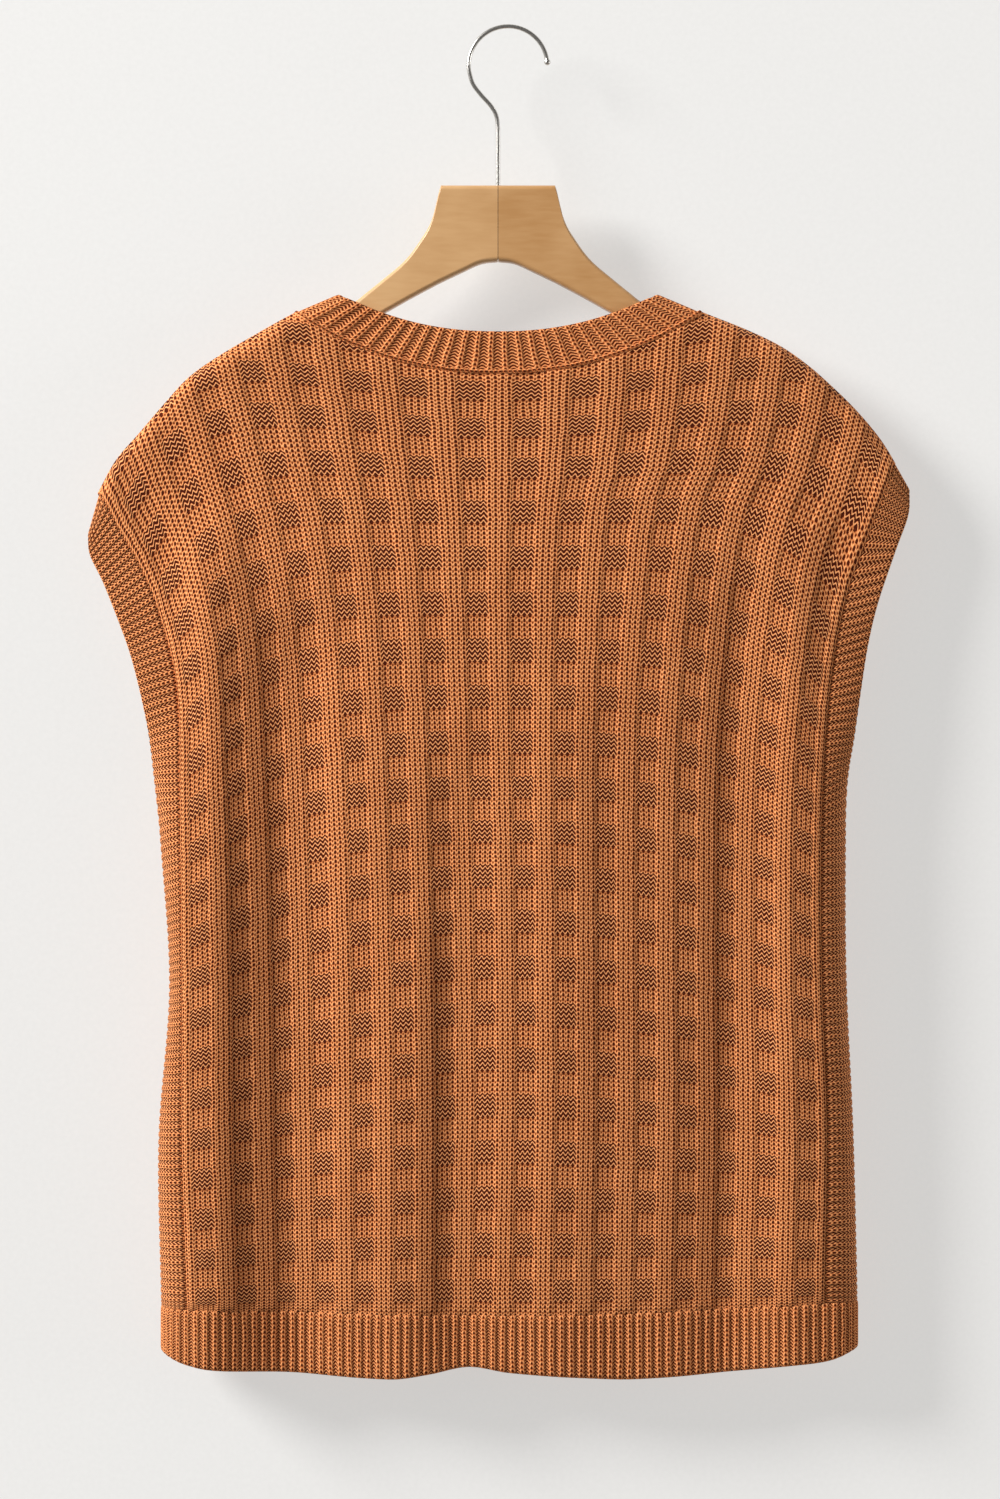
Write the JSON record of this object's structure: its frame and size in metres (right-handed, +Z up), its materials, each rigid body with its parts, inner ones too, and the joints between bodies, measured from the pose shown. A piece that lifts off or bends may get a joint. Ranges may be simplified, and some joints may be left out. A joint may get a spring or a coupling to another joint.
{
  "type": "knitted sweater vest on a wooden hanger",
  "caption": "Sleeveless drop-shoulder knitted vest with a raised block pattern, ribbed neckband, side bands and hem, hanging empty on a wooden hanger with a wire hook.",
  "frame": {"origin": "inner crown of the hanger's hook, where the hook rests on a rail or peg", "axes": "+Z up, -Y towards the pictured back of the vest, +X to the right in that view"},
  "size_m": [0.493, 0.0537, 0.8107],
  "materials": {
    "pattern_knit": "burnt orange cotton-look yarn, knit strips and reverse stitch blocks",
    "rib_knit": "burnt orange cotton-look yarn, 1x1 rib",
    "varnished_wood": "light wood under satin varnish, glued in the middle",
    "satin_wire": "satin nickel-plated steel wire"
  },
  "bodies": {
    "root": {"back_panel": "pattern_knit", "front_panel": "pattern_knit", "neckband": "rib_knit", "side_band_left": "rib_knit", "side_band_right": "rib_knit", "hem_back": "rib_knit", "hem_front": "rib_knit", "hanger_left": "varnished_wood", "hanger_right": "varnished_wood", "hanger_hook": "satin_wire"}
  },
  "joints": []
}
